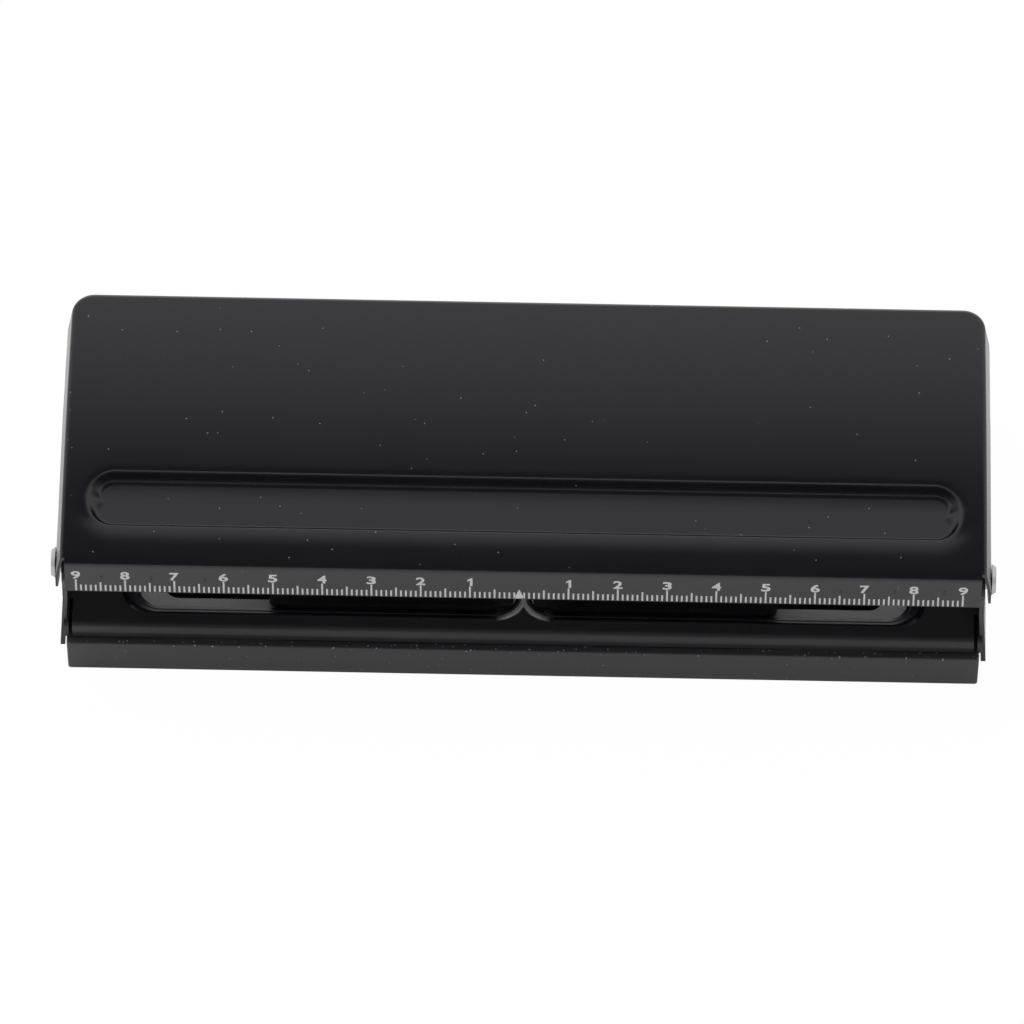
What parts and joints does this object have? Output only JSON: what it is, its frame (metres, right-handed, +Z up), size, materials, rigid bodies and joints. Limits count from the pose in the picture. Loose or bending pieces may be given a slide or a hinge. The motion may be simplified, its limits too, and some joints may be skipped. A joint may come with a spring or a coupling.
{
  "type": "adjustable hole punch",
  "caption": "Black desk punch: a sprung pressed-steel lever with a centimetre scale drives punches in two sliding carriers over a bed with a pull-out chip tray.",
  "frame": {"origin": "on the table under the middle of the chip tray", "axes": "+X along the paper edge to the right, +Y from the paper side to the back, +Z up"},
  "size_m": [0.192, 0.067, 0.0505],
  "materials": {
    "enamel": "gloss black stove enamel",
    "tray_plastic": "matt black soft plastic",
    "black_casting": "satin black coated casting",
    "bronze": "sintered bronze",
    "spring_wire": "drawn wire",
    "bright_steel": "bright plated steel"
  },
  "bodies": {
    "base": {"base_pan": "enamel", "die_rail": "bright_steel", "rail_rivets": "bright_steel", "guide_rod": "bright_steel", "rod_clips": "bright_steel", "left_pivot_pin": "bright_steel", "right_pivot_pin": "bright_steel", "pivot_clips": "bright_steel"},
    "lever_arm": {"lever": "enamel", "press_bar": "bright_steel"},
    "tray": {"chip_tray": "tray_plastic"},
    "left_carrier": {"left_carrier_frame": "black_casting", "left_die_plate": "bright_steel", "left_guide_block": "black_casting", "left_rod_bushes": "bronze", "left_block_screws": "bright_steel", "left_spring_washers": "bright_steel", "left_inner_spring": "spring_wire", "left_middle_spring": "spring_wire", "left_outer_spring": "spring_wire"},
    "left_punches": {"left_inner_punch": "bright_steel", "left_middle_punch": "bright_steel", "left_outer_punch": "bright_steel"},
    "left_lock": {"left_lock_screw": "bright_steel"},
    "right_carrier": {"right_carrier_frame": "black_casting", "right_die_plate": "bright_steel", "right_guide_block": "black_casting", "right_rod_bushes": "bronze", "right_block_screws": "bright_steel", "right_spring_washers": "bright_steel", "right_inner_spring": "spring_wire", "right_middle_spring": "spring_wire", "right_outer_spring": "spring_wire"},
    "right_punches": {"right_inner_punch": "bright_steel", "right_middle_punch": "bright_steel", "right_outer_punch": "bright_steel"},
    "right_lock": {"right_lock_screw": "bright_steel"}
  },
  "joints": [
    {"name": "lever_press", "type": "hinge", "parent": "base", "child": "lever_arm", "pos_m": [0, -0.0275, 0.03], "axis": [-1, 0, 0], "range_deg": [0, 16], "stiffness_Nm_per_rad": 3, "springref_deg": -11.46},
    {"name": "tray_pull", "type": "slide", "parent": "base", "child": "tray", "axis": [0, -1, 0], "range_m": [0, 0.055]},
    {"name": "left_carrier_slide", "type": "slide", "parent": "base", "child": "left_carrier", "axis": [-1, 0, 0], "range_m": [0, 0.0255]},
    {"name": "left_punch_stroke", "type": "slide", "parent": "left_carrier", "child": "left_punches", "axis": [0, 0, -1], "range_m": [0, 0.006], "deforming": ["left_inner_spring", "left_middle_spring", "left_outer_spring"]},
    {"name": "left_lock_turn", "type": "hinge", "parent": "left_carrier", "child": "left_lock", "pos_m": [-0.0285, 0.0164, 0.023], "axis": [0, 1, 0], "range_deg": [0, 180]},
    {"name": "right_carrier_slide", "type": "slide", "parent": "base", "child": "right_carrier", "axis": [1, 0, 0], "range_m": [0, 0.0255]},
    {"name": "right_punch_stroke", "type": "slide", "parent": "right_carrier", "child": "right_punches", "axis": [0, 0, -1], "range_m": [0, 0.006], "deforming": ["right_inner_spring", "right_middle_spring", "right_outer_spring"]},
    {"name": "right_lock_turn", "type": "hinge", "parent": "right_carrier", "child": "right_lock", "pos_m": [0.0285, 0.0164, 0.023], "axis": [0, 1, 0], "range_deg": [0, 180]}
  ],
  "couplings": [
    {"joint": "left_punch_stroke", "follows": "lever_press", "m_per_rad": 0.0212},
    {"joint": "right_punch_stroke", "follows": "lever_press", "m_per_rad": 0.0212}
  ]
}
